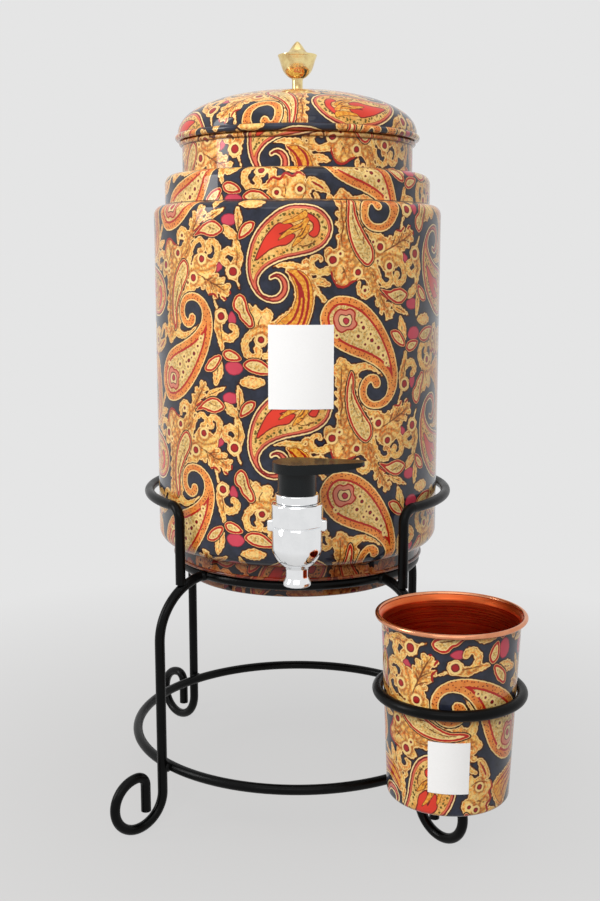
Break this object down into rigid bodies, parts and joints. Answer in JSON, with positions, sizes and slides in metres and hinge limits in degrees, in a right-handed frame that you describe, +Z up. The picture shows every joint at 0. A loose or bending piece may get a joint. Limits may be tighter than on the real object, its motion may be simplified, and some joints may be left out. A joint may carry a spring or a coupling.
{
  "type": "copper water dispenser",
  "caption": "Printed copper water pot with domed lid and chrome lever tap, standing on a black rod stand with scroll feet that also holds a matching tumbler in a ring.",
  "frame": {"origin": "on the floor below the pot's axis", "axes": "+Z up along the pot's axis, the tap faces -Y, +X is to the right seen from the tap's side"},
  "size_m": [0.2368, 0.2795, 0.4709],
  "materials": {
    "printed_copper": "glossy lacquered print on copper",
    "plain_copper": "satin",
    "polished_brass": "polished",
    "chrome": "mirror",
    "black_plastic": "gloss",
    "seal_rubber": "matte",
    "steel": "satin",
    "black_rod": "satin powder coat",
    "paper_label": "matte"
  },
  "bodies": {
    "stand": {"support_ring": "black_rod", "guard_hoop": "black_rod", "lower_ring": "black_rod", "leg_front_left": "black_rod", "leg_front_right": "black_rod", "leg_back_right": "black_rod", "leg_back_left": "black_rod", "tumbler_ring": "black_rod"},
    "pot": {"pot_body": "printed_copper", "pot_shoulder": "printed_copper", "pot_base": "printed_copper", "pot_label": "paper_label", "tap_body": "chrome", "tap_outer_gasket": "seal_rubber", "tap_inner_gasket": "seal_rubber", "tap_lock_nut": "steel", "tap_trim_ring": "chrome", "tap_bonnet": "black_plastic", "tap_bonnet_seal": "seal_rubber", "tap_stem_seal": "seal_rubber", "tap_spring": "steel"},
    "lid": {"lid_shell": "printed_copper", "lid_collar": "plain_copper", "lid_knob": "polished_brass", "knob_screw": "steel", "knob_washer": "steel"},
    "tumbler_body": {"tumbler": "printed_copper", "tumbler_label": "paper_label"},
    "tap_valve": {"tap_seat_cup": "seal_rubber"},
    "tap_lever_body": {"tap_lever": "black_plastic", "tap_stem": "steel", "tap_stem_pin": "steel"}
  },
  "joints": [
    {"name": "pot_lift", "type": "slide", "parent": "stand", "child": "pot", "axis": [0, 0, 1], "range_m": [0, 0.1]},
    {"name": "lid_lift", "type": "slide", "parent": "pot", "child": "lid", "axis": [0, 0, 1], "range_m": [0, 0.08]},
    {"name": "tumbler_lift", "type": "slide", "parent": "stand", "child": "tumbler_body", "axis": [0, 0, 1], "range_m": [0, 0.1]},
    {"name": "tap_valve_lift", "type": "slide", "parent": "pot", "child": "tap_valve", "axis": [0, 0, 1], "range_m": [0, 0.0016], "stiffness_N_per_m": 300, "springref_m": -0.006, "deforming": ["tap_spring"]},
    {"name": "tap_lever_turn", "type": "hinge", "parent": "tap_valve", "child": "tap_lever_body", "pos_m": [0, -0.122, 0.2295], "axis": [0, 0, 1], "range_deg": [-90, 0]}
  ],
  "couplings": [
    {"joint": "tap_lever_turn", "follows": "tap_valve_lift", "rad_per_m": -981.75}
  ]
}
